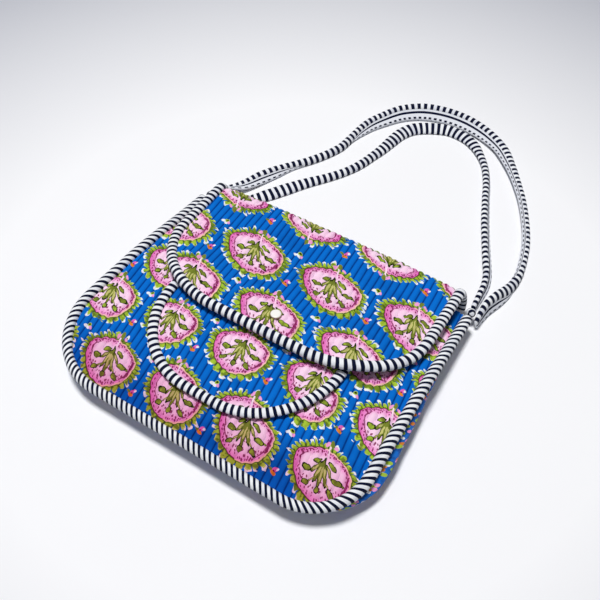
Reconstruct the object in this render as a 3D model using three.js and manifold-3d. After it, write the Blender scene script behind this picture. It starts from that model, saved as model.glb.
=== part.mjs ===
// Quilted shoulder bag lying on its back with the flap closed and its two straps laid out beyond the top.
// Millimetres. X runs left to right seen from the front, Y from the bottom of the bag to its top, Z up from
// the surface it lies on. The origin is the middle of the back panel's resting face.

import * as THREE from "three";
import { mergeVertices } from "three/addons/utils/BufferGeometryUtils.js";
import Module from "manifold-3d";

const wasm = await Module();
wasm.setup();

// Quilted cloth: two cotton layers round thin wadding, sewn in straight channels that lean a little
const CLOTH = 3.2;
const CHANNEL = 5.3;
const CHANNEL_DEPTH = 0.6;
const CHANNEL_LEAN = 0.09;
const INNER_COLUMNS = 12;
const GAP = 0.3;
const SPARE = 6;
const ABOVE_ALL = 60;

// Front panel, measured to the middle of its binding
const FRONT = { half: 119.5, halfTop: 116.4, bottom: -98, top: 91, left: 54, right: 40 };
const FRONT_MIDDLE = 20;
const FRONT_BOTTOM_DROP = { depth: 5, from: -30, span: 68 };
const FRONT_MOUTH_DROP = { depth: 6.5, from: 5, span: 86 };
const FRONT_ROWS = 8;

// Back panel, also to the middle of its binding; it lies flat on the surface
const BACK = { half: 117, halfTop: 112.5, bottom: -90, top: 96, left: 46, right: 46 };
const BACK_BINDING_TOP = 93;

// The back's cloth turns over at the top in an oval fold and comes forward as the flap
const FOLD = { start: 97, reach: 10.2, halfHeight: 11.4, endPull: 3.2 };
const FOLD_STEPS = 8;
const FLAP = { half: 104, halfTop: 104.5, bottom: -8.5, cornerWide: 68, cornerTall: 58 };
const FLAP_STEPS = 6;
const FLAP_SHIFT = { side: 3.5, from: 80, span: 90 };
const FLAP_RISE = { height: 7.2, from: 70, span: 80 };
const FLAP_DROOP = { depth: 3.4, aside: 72, wide: 32, from: 70, span: 60 };

// Patch pocket on the front panel, under the flap
const POCKET = { middle: -1.5, half: 70, bottom: -67, top: 34, cornerWide: 58, cornerTall: 62 };
const POCKET_ROWS = 5;

// Gusset strip between the two bound edges
const GUSSET = { wall: 2.4, bulge: 8, bottomBulge: 0.6, endClear: 4.4, steps: 40, layers: 4 };

// Striped bindings: each is a roll of cloth round an edge, wide and thick
const FRONT_ROLL = { wide: 7.9, thick: 7.6, steps: 54, sides: 8 };
const BACK_ROLL = { wide: 7.9, thick: 8, steps: 42, sides: 8 };
const FLAP_ROLL = { wide: 7.8, thick: 6.6, steps: 36, sides: 10 };
const POCKET_ROLL = { wide: 7.4, thick: 4.6, steps: 30, sides: 8 };
const END_ROLL = { wide: 6.8, thick: 6.8, steps: 4, sides: 8 };

// The flap's binding goes over the ends of the fold, a little wider apart as it goes down to the back
const FOLD_END = { angles: [-55, -28, 0, 28, 54, 76], spread: 1.8, reach: 6.4, from: 60, span: 100 };

// Middle of the roll over the gusset's right end, at the front binding and down by the back
const GUSSET_END_UPPER = { x: 116.4, y: 95.2, z: 12.6 };
const GUSSET_END_LOWER = { x: 115.2, y: 101.4, z: 7.4 };

// Points along the outlines that the cloths are cut to
const CUT_POINTS = { front: 60, back: 50, flap: 60, pocket: 40 };

// Press stud: a white cap on the flap, and its hidden half below
const STUD = { x: 9, y: 6.8, skirt: 0.3, sides: 12 };
const STUD_CAP = { radius: 4, rise: 1.8 };
const STUD_SOCKET = { radius: 4.4, rise: 0.8 };

// Straps: flat bands folded along their length. A row is one place on the route: the middle of the band,
// its width and thickness there, and its tilt in degrees from lying flat.
const STRAP_SIDES = 10;
const STRAP_STEPS = 44;
const STRAP_COLUMNS = ["x", "y", "width", "thick", "tilt"];
const STRAP_OUTER = [
  [-122.4, 101, 9, 5, 75],
  [-119.5, 110, 10, 5, 62],
  [-113.5, 118, 12, 5, 40],
  [-106.5, 126.5, 13.5, 5, 12],
  [-98, 144, 14, 5, -12],
  [-90.5, 159, 12.5, 5.5, -18],
  [-84, 171.5, 10, 6, -25],
  [-76.5, 183, 9, 6.5, -30],
  [-66, 202.5, 9, 6.5, -30],
  [-61.5, 215.5, 9, 6.5, -30],
  [-60, 230, 9.5, 6.5, -26],
  [-57.5, 244.5, 12, 6, -20],
  [-54, 257.5, 14, 5.5, -16],
  [-48.5, 269, 16, 5.5, -14],
  [-38, 286, 19, 5.5, -14],
  [-21.5, 299, 20.5, 5.5, -14],
  [-2, 304.7, 19.5, 5.5, -14],
  [19, 304.6, 19, 5.5, -12],
  [42, 298, 17, 5.5, -5],
  [57, 289.5, 15.5, 5.5, 5],
  [73, 273, 13, 5.5, 15],
  [84, 259, 11.5, 6, 22],
  [99, 237, 10.5, 6.5, 30],
  [111, 215, 10, 6.5, 32],
  [121, 192, 10, 6.5, 35],
  [126.8, 171, 9.5, 6.5, 36],
  [129.3, 157, 9.5, 6.5, 38],
  [129.6, 146, 10, 6.5, 42],
  [128.6, 136, 12, 5.5, 48],
  [126, 124, 14, 5, 55],
  [123.2, 112.5, 14, 5, 64],
  [122.4, 101, 12.5, 4.5, 75],
  [122.3, 93.5, 11, 4, 80],
];
const STRAP_INNER = [
  [-115, 107, 9, 5, 60],
  [-106, 112.5, 9, 5, 45],
  [-97, 116, 10, 5, 25],
  [-89.5, 120.5, 11.5, 5, 5],
  [-83, 128, 12.5, 5, -10],
  [-73, 143.5, 12.5, 5, -12],
  [-62, 160, 11, 5.5, -20],
  [-50, 176, 9.5, 6, -28],
  [-44.5, 184.5, 9, 6.5, -30],
  [-39.5, 194, 9, 6.5, -30],
  [-35, 206, 9.5, 6.5, -28],
  [-32, 219, 10, 6, -25],
  [-29.3, 232, 11, 6, -22],
  [-27.5, 246, 12, 5.5, -20],
  [-25, 260, 12.5, 5.5, -18],
  [-19.5, 271.5, 13, 5.5, -16],
  [-11.5, 278.5, 13, 5.5, -15],
  [-2, 283.8, 12.8, 5.5, -15],
  [8, 287.4, 12.5, 5.5, -15],
  [19, 287.4, 12.2, 5.5, -12],
  [29, 285, 12, 5.5, -8],
  [38, 279.8, 11.5, 6, 0],
  [47, 271.5, 10, 6.5, 12],
  [55, 262, 9, 6.5, 20],
  [64, 246, 9, 6.5, 25],
  [74.5, 221, 9.5, 6.5, 28],
  [84.5, 197.5, 10, 6.5, 30],
  [95, 175, 10, 6.5, 32],
  [104, 156.5, 10.5, 6.5, 35],
  [109.3, 145.5, 10.5, 6.5, 38],
  [112.6, 134, 10.5, 6, 45],
  [113.8, 120, 10, 5.5, 58],
  [114.5, 107, 9, 5, 72],
];

const CLOTH_LOOK = { color: 0x0b5cc0, roughness: 0.85, metalness: 0 };
const STRIPE_LOOK = { color: 0xb9bfce, roughness: 0.8, metalness: 0 };
const STUD_LOOK = { color: 0xf4f4f2, roughness: 0.35, metalness: 0 };

const UP = new THREE.Vector3(0, 0, 1);
const ease = (value) => THREE.MathUtils.smoothstep(value, 0, 1);

// Height of the front panel's middle layer: lower at the bottom edge and at the mouth
function frontHeight(y) {
  const bottom = ease((FRONT_BOTTOM_DROP.from - y) / FRONT_BOTTOM_DROP.span);
  const mouth = ease((y - FRONT_MOUTH_DROP.from) / FRONT_MOUTH_DROP.span);
  return FRONT_MIDDLE - FRONT_BOTTOM_DROP.depth * bottom - FRONT_MOUTH_DROP.depth * mouth;
}

// The soft flap lies a little to the right at its lower edge
function flapShift(y) {
  return FLAP_SHIFT.side * ease((FLAP_SHIFT.from - y) / FLAP_SHIFT.span);
}

// How far the flap's middle layer stands above the top of the fold: it rises over the pocket and sinks
// towards its sides
function flapLift(x, y) {
  const aside = Math.abs(x - flapShift(y)) - FLAP_DROOP.aside;
  const droop = ease(aside / FLAP_DROOP.wide) * ease((FLAP_DROOP.from - y) / FLAP_DROOP.span);
  return FLAP_RISE.height * ease((FLAP_RISE.from - y) / FLAP_RISE.span) - FLAP_DROOP.depth * droop;
}

const foldMiddle = CLOTH / 2 + FOLD.halfHeight;
const foldTop = CLOTH / 2 + 2 * FOLD.halfHeight;

// Outline of the bag lying down, open at the top: down the left side, along the bottom, up the right side
function bagOutline({ half, halfTop, bottom, top, left, right }, inset = 0) {
  const path = new THREE.Path();
  path.moveTo(-halfTop + inset, top);
  path.lineTo(-half + inset, bottom + left);
  path.absellipse(-half + left, bottom + left, left - inset, left - inset, Math.PI, 1.5 * Math.PI);
  path.lineTo(half - right, bottom + inset);
  path.absellipse(half - right, bottom + right, right - inset, right - inset, 1.5 * Math.PI, 2 * Math.PI);
  path.lineTo(halfTop - inset, top);
  return path;
}

// Outline of the flap from the fold down, round its lower corners and up again
function flapOutline(inset = 0) {
  const { half, halfTop, bottom, cornerWide, cornerTall } = FLAP;
  const centre = bottom + cornerTall;
  const wide = cornerWide - inset;
  const tall = cornerTall - inset;
  const path = new THREE.Path();
  path.moveTo(-halfTop + inset, FOLD.start);
  path.lineTo(-half + inset, centre);
  path.absellipse(-half + cornerWide, centre, wide, tall, Math.PI, 1.5 * Math.PI);
  path.lineTo(half - cornerWide, bottom + inset);
  path.absellipse(half - cornerWide, centre, wide, tall, 1.5 * Math.PI, 2 * Math.PI);
  path.lineTo(halfTop - inset, FOLD.start);
  return path;
}

// Outline of the pocket: straight sides and wide round lower corners
function pocketOutline(inset = 0) {
  const { middle, half, bottom, top, cornerWide, cornerTall } = POCKET;
  const centre = bottom + cornerTall;
  const wide = cornerWide - inset;
  const tall = cornerTall - inset;
  const path = new THREE.Path();
  path.moveTo(middle - half + inset, top);
  path.lineTo(middle - half + inset, centre);
  path.absellipse(middle - half + cornerWide, centre, wide, tall, Math.PI, 1.5 * Math.PI);
  path.lineTo(middle + half - cornerWide, bottom + inset);
  path.absellipse(middle + half - cornerWide, centre, wide, tall, 1.5 * Math.PI, 2 * Math.PI);
  path.lineTo(middle + half - inset, top);
  return path;
}

function points(path, count, shift = () => 0) {
  const spaced = path.getSpacedPoints(count);
  return spaced.map((point) => new THREE.Vector2(point.x + shift(point.y), point.y));
}

function closedGeometry(geometry) {
  geometry.deleteAttribute("normal");
  geometry.deleteAttribute("uv");
  return mergeVertices(geometry, 1e-4);
}

function toSolid(geometry) {
  const closed = closedGeometry(geometry);
  const vertProperties = Float32Array.from(closed.attributes.position.array);
  const triVerts = Uint32Array.from(closed.index.array);
  return new wasm.Manifold(new wasm.Mesh({ numProp: 3, vertProperties, triVerts }));
}

function toGeometry(solid) {
  const { vertProperties, triVerts } = solid.getMesh();
  const geometry = new THREE.BufferGeometry();
  geometry.setAttribute("position", new THREE.BufferAttribute(vertProperties, 3));
  geometry.setIndex(new THREE.BufferAttribute(triVerts, 1));
  return geometry;
}

// Upright block with the given outline, to cut a sheet to
function prism(outline, low, high) {
  const options = { depth: high - low, bevelEnabled: false };
  const geometry = new THREE.ExtrudeGeometry(new THREE.Shape(outline), options);
  return toSolid(geometry.translate(0, 0, low));
}

// Carries a block's grid of vertices onto a form: place(column, row, outer) gives each its point
function formed(columns, rows, place) {
  const geometry = new THREE.BoxGeometry(1, 1, 1, columns, rows, 1);
  const position = geometry.attributes.position;
  for (let i = 0; i < position.count; i++) {
    const column = Math.round((position.getX(i) + 0.5) * columns);
    const row = Math.round((position.getY(i) + 0.5) * rows);
    const point = place(column, row, position.getZ(i) > 0);
    position.setXYZ(i, point.x, point.y, point.z);
  }
  return geometry;
}

// Quilted sheet over a width of cloth: channels on its outer side, plain within. rows holds each row's
// distance along the cloth, and form(x, row, out) the place of a point at a height out of the middle layer.
function quiltedSheet(width, rows, form) {
  const columns = 2 * Math.round(width / CHANNEL);
  const across = (column, count, row) => {
    return (column / count - 0.5) * width - CHANNEL_LEAN * rows[row].along;
  };
  const sheet = formed(columns, rows.length - 1, (column, row, outer) => {
    const seam = column % 2 ? CHANNEL_DEPTH * rows[row].quilt : 0;
    return form(across(column, columns, row), row, outer ? CLOTH / 2 - seam : -CLOTH);
  });
  const under = formed(INNER_COLUMNS, rows.length - 1, (column, row, outer) => {
    return form(1.05 * across(column, INNER_COLUMNS, row), row, outer ? -CLOTH / 2 : -2 * CLOTH);
  });
  return toSolid(sheet).subtract(toSolid(under));
}

// Oval section swept along stations, each with its place, its up direction, width and thickness
function band(stations, sides) {
  const steps = stations.length - 1;
  const frames = stations.map(({ at, up, wide, thick }, step) => {
    const before = stations[Math.max(step - 1, 0)].at;
    const after = stations[Math.min(step + 1, steps)].at;
    const along = after.clone().sub(before).normalize();
    const side = along.clone().cross(up).normalize();
    const rise = side.clone().cross(along);
    return { at, side: side.multiplyScalar(wide / 2), rise: rise.multiplyScalar(thick / 2) };
  });
  const geometry = new THREE.CylinderGeometry(1, 1, 1, sides, steps);
  const position = geometry.attributes.position;
  for (let i = 0; i < position.count; i++) {
    const { at, side, rise } = frames[Math.round((position.getY(i) + 0.5) * steps)];
    const point = at.clone();
    point.addScaledVector(side, position.getX(i)).addScaledVector(rise, position.getZ(i));
    position.setXYZ(i, point.x, point.y, point.z);
  }
  return closedGeometry(geometry);
}

function roll(spots, size, up = () => UP) {
  const stations = spots.map((at) => ({ at, up: up(at), wide: size.wide, thick: size.thick }));
  return band(stations, size.sides);
}

// Evenly spaced rows from one end of the cloth to the other
function evenRows(from, to, count) {
  return Array.from({ length: count + 1 }, (_, step) => {
    const y = THREE.MathUtils.lerp(from, to, step / count);
    return { y, along: y, quilt: 1 };
  });
}

function frontPanel() {
  const inset = FRONT_ROLL.wide / 2 + GAP;
  const rows = evenRows(FRONT.bottom - SPARE, FRONT.top + SPARE, FRONT_ROWS);
  const sheet = quiltedSheet(2 * FRONT.half + 4 * SPARE, rows, (x, row, out) => {
    return new THREE.Vector3(x, rows[row].y, frontHeight(rows[row].y) + out);
  });
  return toGeometry(sheet.intersect(prism(points(bagOutline(FRONT, inset), CUT_POINTS.front), 0, ABOVE_ALL)));
}

const pocketFloor = CLOTH + GAP;

function frontPocket() {
  const inset = POCKET_ROLL.wide / 2 + GAP;
  const rows = evenRows(POCKET.bottom - SPARE, POCKET.top + SPARE, POCKET_ROWS);
  const sheet = quiltedSheet(2 * POCKET.half + 4 * SPARE, rows, (x, row, out) => {
    return new THREE.Vector3(x, rows[row].y, frontHeight(rows[row].y) + pocketFloor + out);
  });
  return toGeometry(sheet.intersect(prism(points(pocketOutline(inset), CUT_POINTS.pocket), 0, ABOVE_ALL)));
}

// Rows of the back and flap cloth, from the flap's lower edge over the fold to the bottom of the back
function backAndFlapRows() {
  const flap = Array.from({ length: FLAP_STEPS }, (_, step) => {
    const y = THREE.MathUtils.lerp(FLAP.bottom - SPARE, FOLD.start, step / FLAP_STEPS);
    return { y, z: foldTop, outY: 0, outZ: 1, along: y, quilt: 1, pull: 0, drape: 1 };
  });
  const fold = Array.from({ length: FOLD_STEPS + 1 }, (_, step) => {
    const angle = Math.PI * (0.5 - step / FOLD_STEPS);
    return {
      y: FOLD.start + FOLD.reach * Math.cos(angle),
      z: foldMiddle + FOLD.halfHeight * Math.sin(angle),
      outY: Math.cos(angle),
      outZ: Math.sin(angle),
      along: FOLD.start + FOLD.halfHeight * (Math.PI / 2 - angle),
      quilt: ease((2 * (FOLD_STEPS - step)) / FOLD_STEPS),
      pull: Math.cos(angle),
      drape: 0,
    };
  });
  const foldEnd = fold[FOLD_STEPS].along + FOLD.start;
  const back = [FOLD.start - 2, BACK.bottom - SPARE].map((y) => {
    return { y, z: CLOTH / 2, outY: 0, outZ: -1, along: foldEnd - y, quilt: 0, pull: 0, drape: 0 };
  });
  return [...flap, ...fold, ...back];
}

const boundBack = { ...BACK, top: BACK_BINDING_TOP };

function backAndFlap() {
  const rows = backAndFlapRows();
  const sheet = quiltedSheet(2 * BACK.half + 10 * SPARE, rows, (x, row, out) => {
    const { y, z, outY, outZ, pull, drape } = rows[row];
    const drawnIn = pull * FOLD.endPull * Math.min(Math.abs(x) / FLAP.halfTop, 1.1) ** 4;
    return new THREE.Vector3(x, y - drawnIn + outY * out, z + drape * flapLift(x, y) + outZ * out);
  });
  const flapInset = FLAP_ROLL.wide / 2 + GAP;
  const beyondFold = FOLD.start + FOLD.reach + CLOTH;
  const flapEnd = FLAP.halfTop - flapInset;
  const flapCut = points(flapOutline(flapInset), CUT_POINTS.flap, flapShift);
  flapCut.push(new THREE.Vector2(flapEnd, beyondFold), new THREE.Vector2(-flapEnd, beyondFold));
  const backCut = points(bagOutline(boundBack, BACK_ROLL.wide / 2 + GAP), CUT_POINTS.back);
  const narrowed = 2 * FOLD.start - BACK_BINDING_TOP;
  backCut.push(new THREE.Vector2(flapEnd, narrowed), new THREE.Vector2(flapEnd, beyondFold));
  backCut.push(new THREE.Vector2(-flapEnd, beyondFold), new THREE.Vector2(-flapEnd, narrowed));
  const cut = prism(backCut, -CLOTH, foldMiddle).add(prism(flapCut, foldMiddle, ABOVE_ALL));
  return toGeometry(sheet.intersect(cut));
}

function frontBindingSpots() {
  const outline = points(bagOutline(FRONT), FRONT_ROLL.steps);
  return outline.map(({ x, y }) => new THREE.Vector3(x, y, frontHeight(y)));
}

function backBindingSpots() {
  const outline = points(bagOutline(boundBack), BACK_ROLL.steps);
  return outline.map(({ x, y }) => new THREE.Vector3(x, y, BACK_ROLL.thick / 2));
}

function pocketBindingSpots() {
  const outline = points(pocketOutline(), POCKET_ROLL.steps);
  const height = CLOTH / 2 + GAP + POCKET_ROLL.thick / 2;
  return outline.map(({ x, y }) => new THREE.Vector3(x, y, frontHeight(y) + height));
}

function foldEndSpots(side) {
  return FOLD_END.angles.map((degrees) => {
    const angle = THREE.MathUtils.degToRad(degrees);
    const x = FLAP.halfTop + FOLD_END.spread * ease((FOLD_END.from - degrees) / FOLD_END.span);
    const y = FOLD.start + FOLD_END.reach * Math.cos(angle);
    return new THREE.Vector3(side * x, y, foldMiddle + FOLD.halfHeight * Math.sin(angle));
  });
}

function flapBinding() {
  const outline = points(flapOutline(), FLAP_ROLL.steps, flapShift);
  const edge = outline.map(({ x, y }) => new THREE.Vector3(x, y, foldTop + flapLift(x, y)));
  const spots = [...foldEndSpots(-1), ...edge, ...foldEndSpots(1).reverse()];
  return roll(spots, FLAP_ROLL, ({ y, z }) => {
    const outY = (y - FOLD.start) / FOLD_END.reach;
    const outZ = (z - foldMiddle) / FOLD.halfHeight;
    return outY > 0 ? new THREE.Vector3(0, outY, outZ).normalize() : UP;
  });
}

// The gusset joins the two bound edges all round but the mouth, and bows outward at the sides
function gusset() {
  const { steps, layers } = GUSSET;
  const front = bagOutline({ ...FRONT, top: FRONT.top - GUSSET.endClear });
  const back = bagOutline(BACK);
  const clear = 1.3 * GAP;
  return closedGeometry(
    formed(steps, layers, (step, layer, outer) => {
      const share = step / steps;
      const across = layer / layers;
      const high = front.getPoint(share);
      const low = back.getPoint(share);
      const top = new THREE.Vector3(high.x, high.y, frontHeight(high.y) - FRONT_ROLL.thick / 2 - clear);
      const base = new THREE.Vector3(low.x, low.y, BACK_ROLL.thick + clear);
      const tangent = front.getTangent(share);
      const outward = new THREE.Vector3(tangent.y, -tangent.x, 0);
      const sideways = Math.abs(outward.x) ** 2 * ease(4 * share) * ease(4 - 4 * share);
      const bow = THREE.MathUtils.lerp(GUSSET.bottomBulge, GUSSET.bulge, sideways);
      const wall = outer ? GUSSET.wall / 2 : -GUSSET.wall / 2;
      const place = base.lerp(top, across);
      return place.addScaledVector(outward, bow * Math.sin(Math.PI * across) + wall);
    }),
  );
}

// Short striped roll over each end of the gusset, from the front binding down towards the back
function gussetEnd(side) {
  const upper = new THREE.Vector3().copy(GUSSET_END_UPPER);
  const lower = new THREE.Vector3().copy(GUSSET_END_LOWER);
  upper.x *= side;
  lower.x *= side;
  const spots = Array.from({ length: END_ROLL.steps + 1 }, (_, step) => {
    return upper.clone().lerp(lower, step / END_ROLL.steps);
  });
  return roll(spots, END_ROLL);
}

// A strap rests on the surface all along, so its middle is as high as its section reaches down
function strap(table) {
  const rows = table.map((values) => Object.fromEntries(STRAP_COLUMNS.map((name, i) => [name, values[i]])));
  const places = rows.map(({ x, y }) => new THREE.Vector3(x, y, 0));
  const route = new THREE.CatmullRomCurve3(places, false, "chordal");
  const between = (name, t) => {
    const spot = Math.min(t * (rows.length - 1), rows.length - 1.001);
    const row = Math.floor(spot);
    return THREE.MathUtils.lerp(rows[row][name], rows[row + 1][name], spot - row);
  };
  const stations = Array.from({ length: STRAP_STEPS + 1 }, (_, step) => {
    const t = route.getUtoTmapping(step / STRAP_STEPS);
    const wide = between("width", t);
    const thick = between("thick", t);
    const tilt = THREE.MathUtils.degToRad(between("tilt", t));
    const at = route.getPoint(t);
    at.z = Math.hypot((wide / 2) * Math.sin(tilt), (thick / 2) * Math.cos(tilt)) + GAP / 10;
    const up = UP.clone().applyAxisAngle(route.getTangent(t), -tilt);
    return { at, up, wide, thick };
  });
  return band(stations, STRAP_SIDES);
}

// Low dome, with its flat side down at the given height
function studPart({ radius, rise }, height) {
  const skirt = STUD.skirt * rise;
  const foot = [new THREE.Vector2(0, 0), new THREE.Vector2(radius, 0), new THREE.Vector2(radius, skirt)];
  const top = new THREE.EllipseCurve(0, skirt, radius, rise - skirt, 0, Math.PI / 2).getPoints(4);
  const dome = top.slice(1, -1).concat(new THREE.Vector2(0, rise));
  const geometry = new THREE.LatheGeometry(foot.concat(dome), STUD.sides);
  return closedGeometry(geometry.rotateX(Math.PI / 2).translate(STUD.x, STUD.y, height));
}

const flapFace = foldTop + flapLift(STUD.x, STUD.y) + CLOTH / 2;
const pocketFace = frontHeight(STUD.y) + pocketFloor + CLOTH / 2;

const bag = new THREE.Group();

function add(name, geometry, look) {
  const mesh = new THREE.Mesh(geometry, new THREE.MeshStandardMaterial(look));
  mesh.name = name;
  bag.add(mesh);
}

add("back_and_flap", backAndFlap(), CLOTH_LOOK);
add("front_panel", frontPanel(), CLOTH_LOOK);
add("front_pocket", frontPocket(), CLOTH_LOOK);
add("gusset", gusset(), CLOTH_LOOK);
add("front_binding", roll(frontBindingSpots(), FRONT_ROLL), STRIPE_LOOK);
add("back_binding", roll(backBindingSpots(), BACK_ROLL), STRIPE_LOOK);
add("flap_binding", flapBinding(), STRIPE_LOOK);
add("pocket_binding", roll(pocketBindingSpots(), POCKET_ROLL), STRIPE_LOOK);
add("gusset_end_left", gussetEnd(-1), STRIPE_LOOK);
add("gusset_end_right", gussetEnd(1), STRIPE_LOOK);
add("strap_outer", strap(STRAP_OUTER), STRIPE_LOOK);
add("strap_inner", strap(STRAP_INNER), STRIPE_LOOK);
add("press_stud_cap", studPart(STUD_CAP, flapFace + GAP), STUD_LOOK);
add("press_stud_socket", studPart(STUD_SOCKET, pocketFace + GAP), STUD_LOOK);

export default bag;
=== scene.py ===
"""Quilted shoulder bag lying on its back: the looks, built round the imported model.

Lengths are in millimetres up to make_piece(), which makes metres of them. X runs left to right, Y from the
bottom of the bag to its top, Z up from the floor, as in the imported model.
"""
import math
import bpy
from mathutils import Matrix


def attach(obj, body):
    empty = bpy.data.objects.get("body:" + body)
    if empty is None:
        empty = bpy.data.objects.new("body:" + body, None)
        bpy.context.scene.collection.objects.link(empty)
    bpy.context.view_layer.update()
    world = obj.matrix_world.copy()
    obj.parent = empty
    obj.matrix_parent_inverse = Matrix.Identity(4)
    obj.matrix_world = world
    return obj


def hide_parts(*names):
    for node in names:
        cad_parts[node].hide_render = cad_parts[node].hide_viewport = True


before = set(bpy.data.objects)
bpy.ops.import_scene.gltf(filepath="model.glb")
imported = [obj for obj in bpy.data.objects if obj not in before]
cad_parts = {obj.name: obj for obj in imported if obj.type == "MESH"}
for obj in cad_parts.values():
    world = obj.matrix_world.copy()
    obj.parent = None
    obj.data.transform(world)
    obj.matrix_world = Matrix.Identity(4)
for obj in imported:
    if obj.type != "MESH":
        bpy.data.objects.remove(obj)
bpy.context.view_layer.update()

from types import SimpleNamespace as Sizes

import bpy
import numpy as np
from mathutils import Vector

MM = 0.001

# The bag's driving sizes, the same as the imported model's. A roll's bias is how many bars its printed bars
# lean over from its middle to its side, and drawn is how much slimmer it is along the bag's bottom.
CLOTH = 3.2
CHANNEL = 5.3
FRONT = Sizes(half=119.5, half_top=116.4, bottom=-98, top=91, left=54, right=40)
FRONT_MIDDLE = 20
FRONT_BOTTOM_DROP = Sizes(depth=5, start=-30, span=68)
FRONT_MOUTH_DROP = Sizes(depth=6.5, start=5, span=86)
BACK = Sizes(half=117, half_top=112.5, bottom=-90, top=96, left=46, right=46)
BACK_BINDING_TOP = 93
FOLD = Sizes(start=97, reach=10.2, half_height=11.4, end_pull=3.2)
FLAP = Sizes(half=104, half_top=104.5, bottom=-8.5, corner_wide=68, corner_tall=58)
FLAP_SHIFT = Sizes(side=3.5, start=80, span=90)
FLAP_RISE = Sizes(height=7.2, start=70, span=80)
FLAP_DROOP = Sizes(depth=3.4, aside=72, wide=32, start=70, span=60)
POCKET = Sizes(middle=-1.5, half=70, half_top=70, bottom=-67, top=34, corner_wide=58, corner_tall=62)
POCKET_GAP = 0.3
POCKET_FLOOR = CLOTH + POCKET_GAP
GUSSET = Sizes(wall=2.4, bulge=8, bottom_bulge=0.6, end_clear=4.4, tuck=1.2, crease=0.35, flat=12)
FRONT_ROLL = Sizes(wide=7.9, thick=7.6, bias=-0.6, drawn=0.13)
BACK_ROLL = Sizes(wide=7.9, thick=8, bias=-0.55, drawn=0)
FLAP_ROLL = Sizes(wide=7.8, thick=6.6, bias=-0.14, drawn=0)
POCKET_ROLL = Sizes(wide=7.4, thick=4.6, bias=-0.08, drawn=0)
END_ROLL = Sizes(wide=6.8, thick=6.8, bias=-0.3, drawn=0)
ROLL_DRAWN = Sizes(start=-60, span=34)
FOLD_END = Sizes(low=-55, high=76, spread=1.8, reach=6.4, start=60, span=100, points=24)
GUSSET_END_UPPER = (116.4, 95.2, 12.6)
GUSSET_END_LOWER = (115.2, 101.4, 7.4)
STUD = Sizes(x=9, y=6.8, gap=0.3, sides=64)
STUD_CAP = Sizes(radius=4, rise=1.8)
STUD_SOCKET = Sizes(radius=4.4, rise=0.8)

# The press stud from its foot to its middle, in shares of its radius and of its rise
STUD_PROFILE = (
    (0.94, 0), (1, 0.1), (1, 0.45), (0.99, 0.6), (0.95, 0.72), (0.91, 0.74), (0.9, 0.7), (0.87, 0.78),
    (0.8, 0.88), (0.68, 0.95), (0.5, 0.99), (0.3, 1), (0.1, 1),
)

# Rolled bindings: points round and along them, how they close at their ends, how much they pucker at the bars
# and how uneven they are, and then how far apart the bars of each roll are, stretch by stretch
ROLL = Sizes(sides=24, step=0.9, end=0.4, end_least=0.05, pucker=0.018, uneven=0.022)
FRONT_BARS = Sizes(bottom=4.15, bottom_tall=12, left=5.2, rest=4.6)
BACK_BARS = 4.6
POCKET_BARS = Sizes(left=4.9, right=4.55)
FLAP_BARS = Sizes(low_left=4.8, high_left=4.5, low_right=5.3, high_right=4.2)
END_BARS = 4.2

# Straps: the middle of the band, its width and thickness, its tilt in degrees from lying flat, and the width
# of the flat web beside the rolled part: above 0 on the loop's inner side, below 0 on its outer side. The
# cloth is drawn in a little from the solid, most where the strap is narrow.
STRAP_COLUMNS = ("x", "y", "width", "thick", "tilt", "web")
STRAP_OUTER = (
    (-122.4, 101, 9, 5, 75, 2),
    (-119.5, 110, 10, 5, 62, 3),
    (-113.5, 118, 12, 5, 40, 5),
    (-106.5, 126.5, 13.5, 5, 12, 6.5),
    (-98, 144, 14, 5, -12, 7),
    (-90.5, 159, 12.5, 5.5, -18, 5),
    (-84, 171.5, 10, 6, -25, 1.5),
    (-76.5, 183, 9, 6.5, -30, 0),
    (-66, 202.5, 9, 6.5, -30, 0),
    (-61.5, 215.5, 9, 6.5, -30, 0),
    (-60, 230, 9.5, 6.5, -26, 0.5),
    (-57.5, 244.5, 12, 6, -20, 4),
    (-54, 257.5, 14, 5.5, -16, 6.5),
    (-48.5, 269, 16, 5.5, -14, 8.5),
    (-38, 286, 19, 5.5, -14, 11),
    (-21.5, 299, 20.5, 5.5, -14, 12),
    (-2, 304.7, 19.5, 5.5, -14, 11.5),
    (19, 304.6, 19, 5.5, -12, 11),
    (42, 298, 17, 5.5, -5, 9),
    (57, 289.5, 15.5, 5.5, 5, 7),
    (73, 273, 13, 5.5, 15, 5),
    (84, 259, 11.5, 6, 22, 3.5),
    (99, 237, 10.5, 6.5, 30, 3),
    (111, 215, 10, 6.5, 32, 2.5),
    (121, 192, 10, 6.5, 35, 2.5),
    (126.8, 171, 9.5, 6.5, 36, 2),
    (129.3, 157, 9.5, 6.5, 38, 1),
    (129.6, 146, 10, 6.5, 42, 0),
    (128.6, 136, 12, 5.5, 48, -2),
    (126, 124, 14, 5, 55, -6),
    (123.2, 112.5, 14, 5, 64, -7),
    (122.4, 101, 12.5, 4.5, 75, -6),
    (122.3, 93.5, 11, 4, 80, -5),
)
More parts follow.
